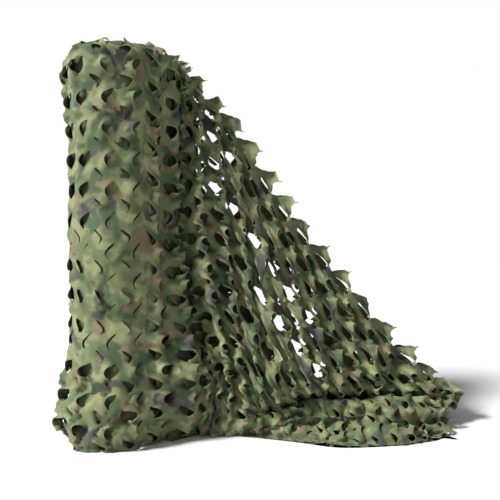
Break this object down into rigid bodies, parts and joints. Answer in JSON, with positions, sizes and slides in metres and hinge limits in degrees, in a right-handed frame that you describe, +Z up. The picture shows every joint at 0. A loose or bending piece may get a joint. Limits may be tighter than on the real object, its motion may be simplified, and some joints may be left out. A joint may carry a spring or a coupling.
{
  "type": "rolled camouflage net",
  "caption": "Roll of leaf-cut camouflage net standing on end, its loose end pulled out and draped down to the floor in soft folds.",
  "frame": {"origin": "on the floor, under the middle of the whole object's box", "axes": "+Z up along the standing roll, +X from the roll to the tip of the loose end, -Y towards the side that shows the folds"},
  "size_m": [1.6829, 0.5534, 1.5118],
  "materials": {
    "camouflage_cloth": "matt dyed polyester, woodland camouflage"
  },
  "bodies": {
    "root": {"net_roll": "camouflage_cloth", "net_loose_end": "camouflage_cloth"}
  },
  "joints": []
}
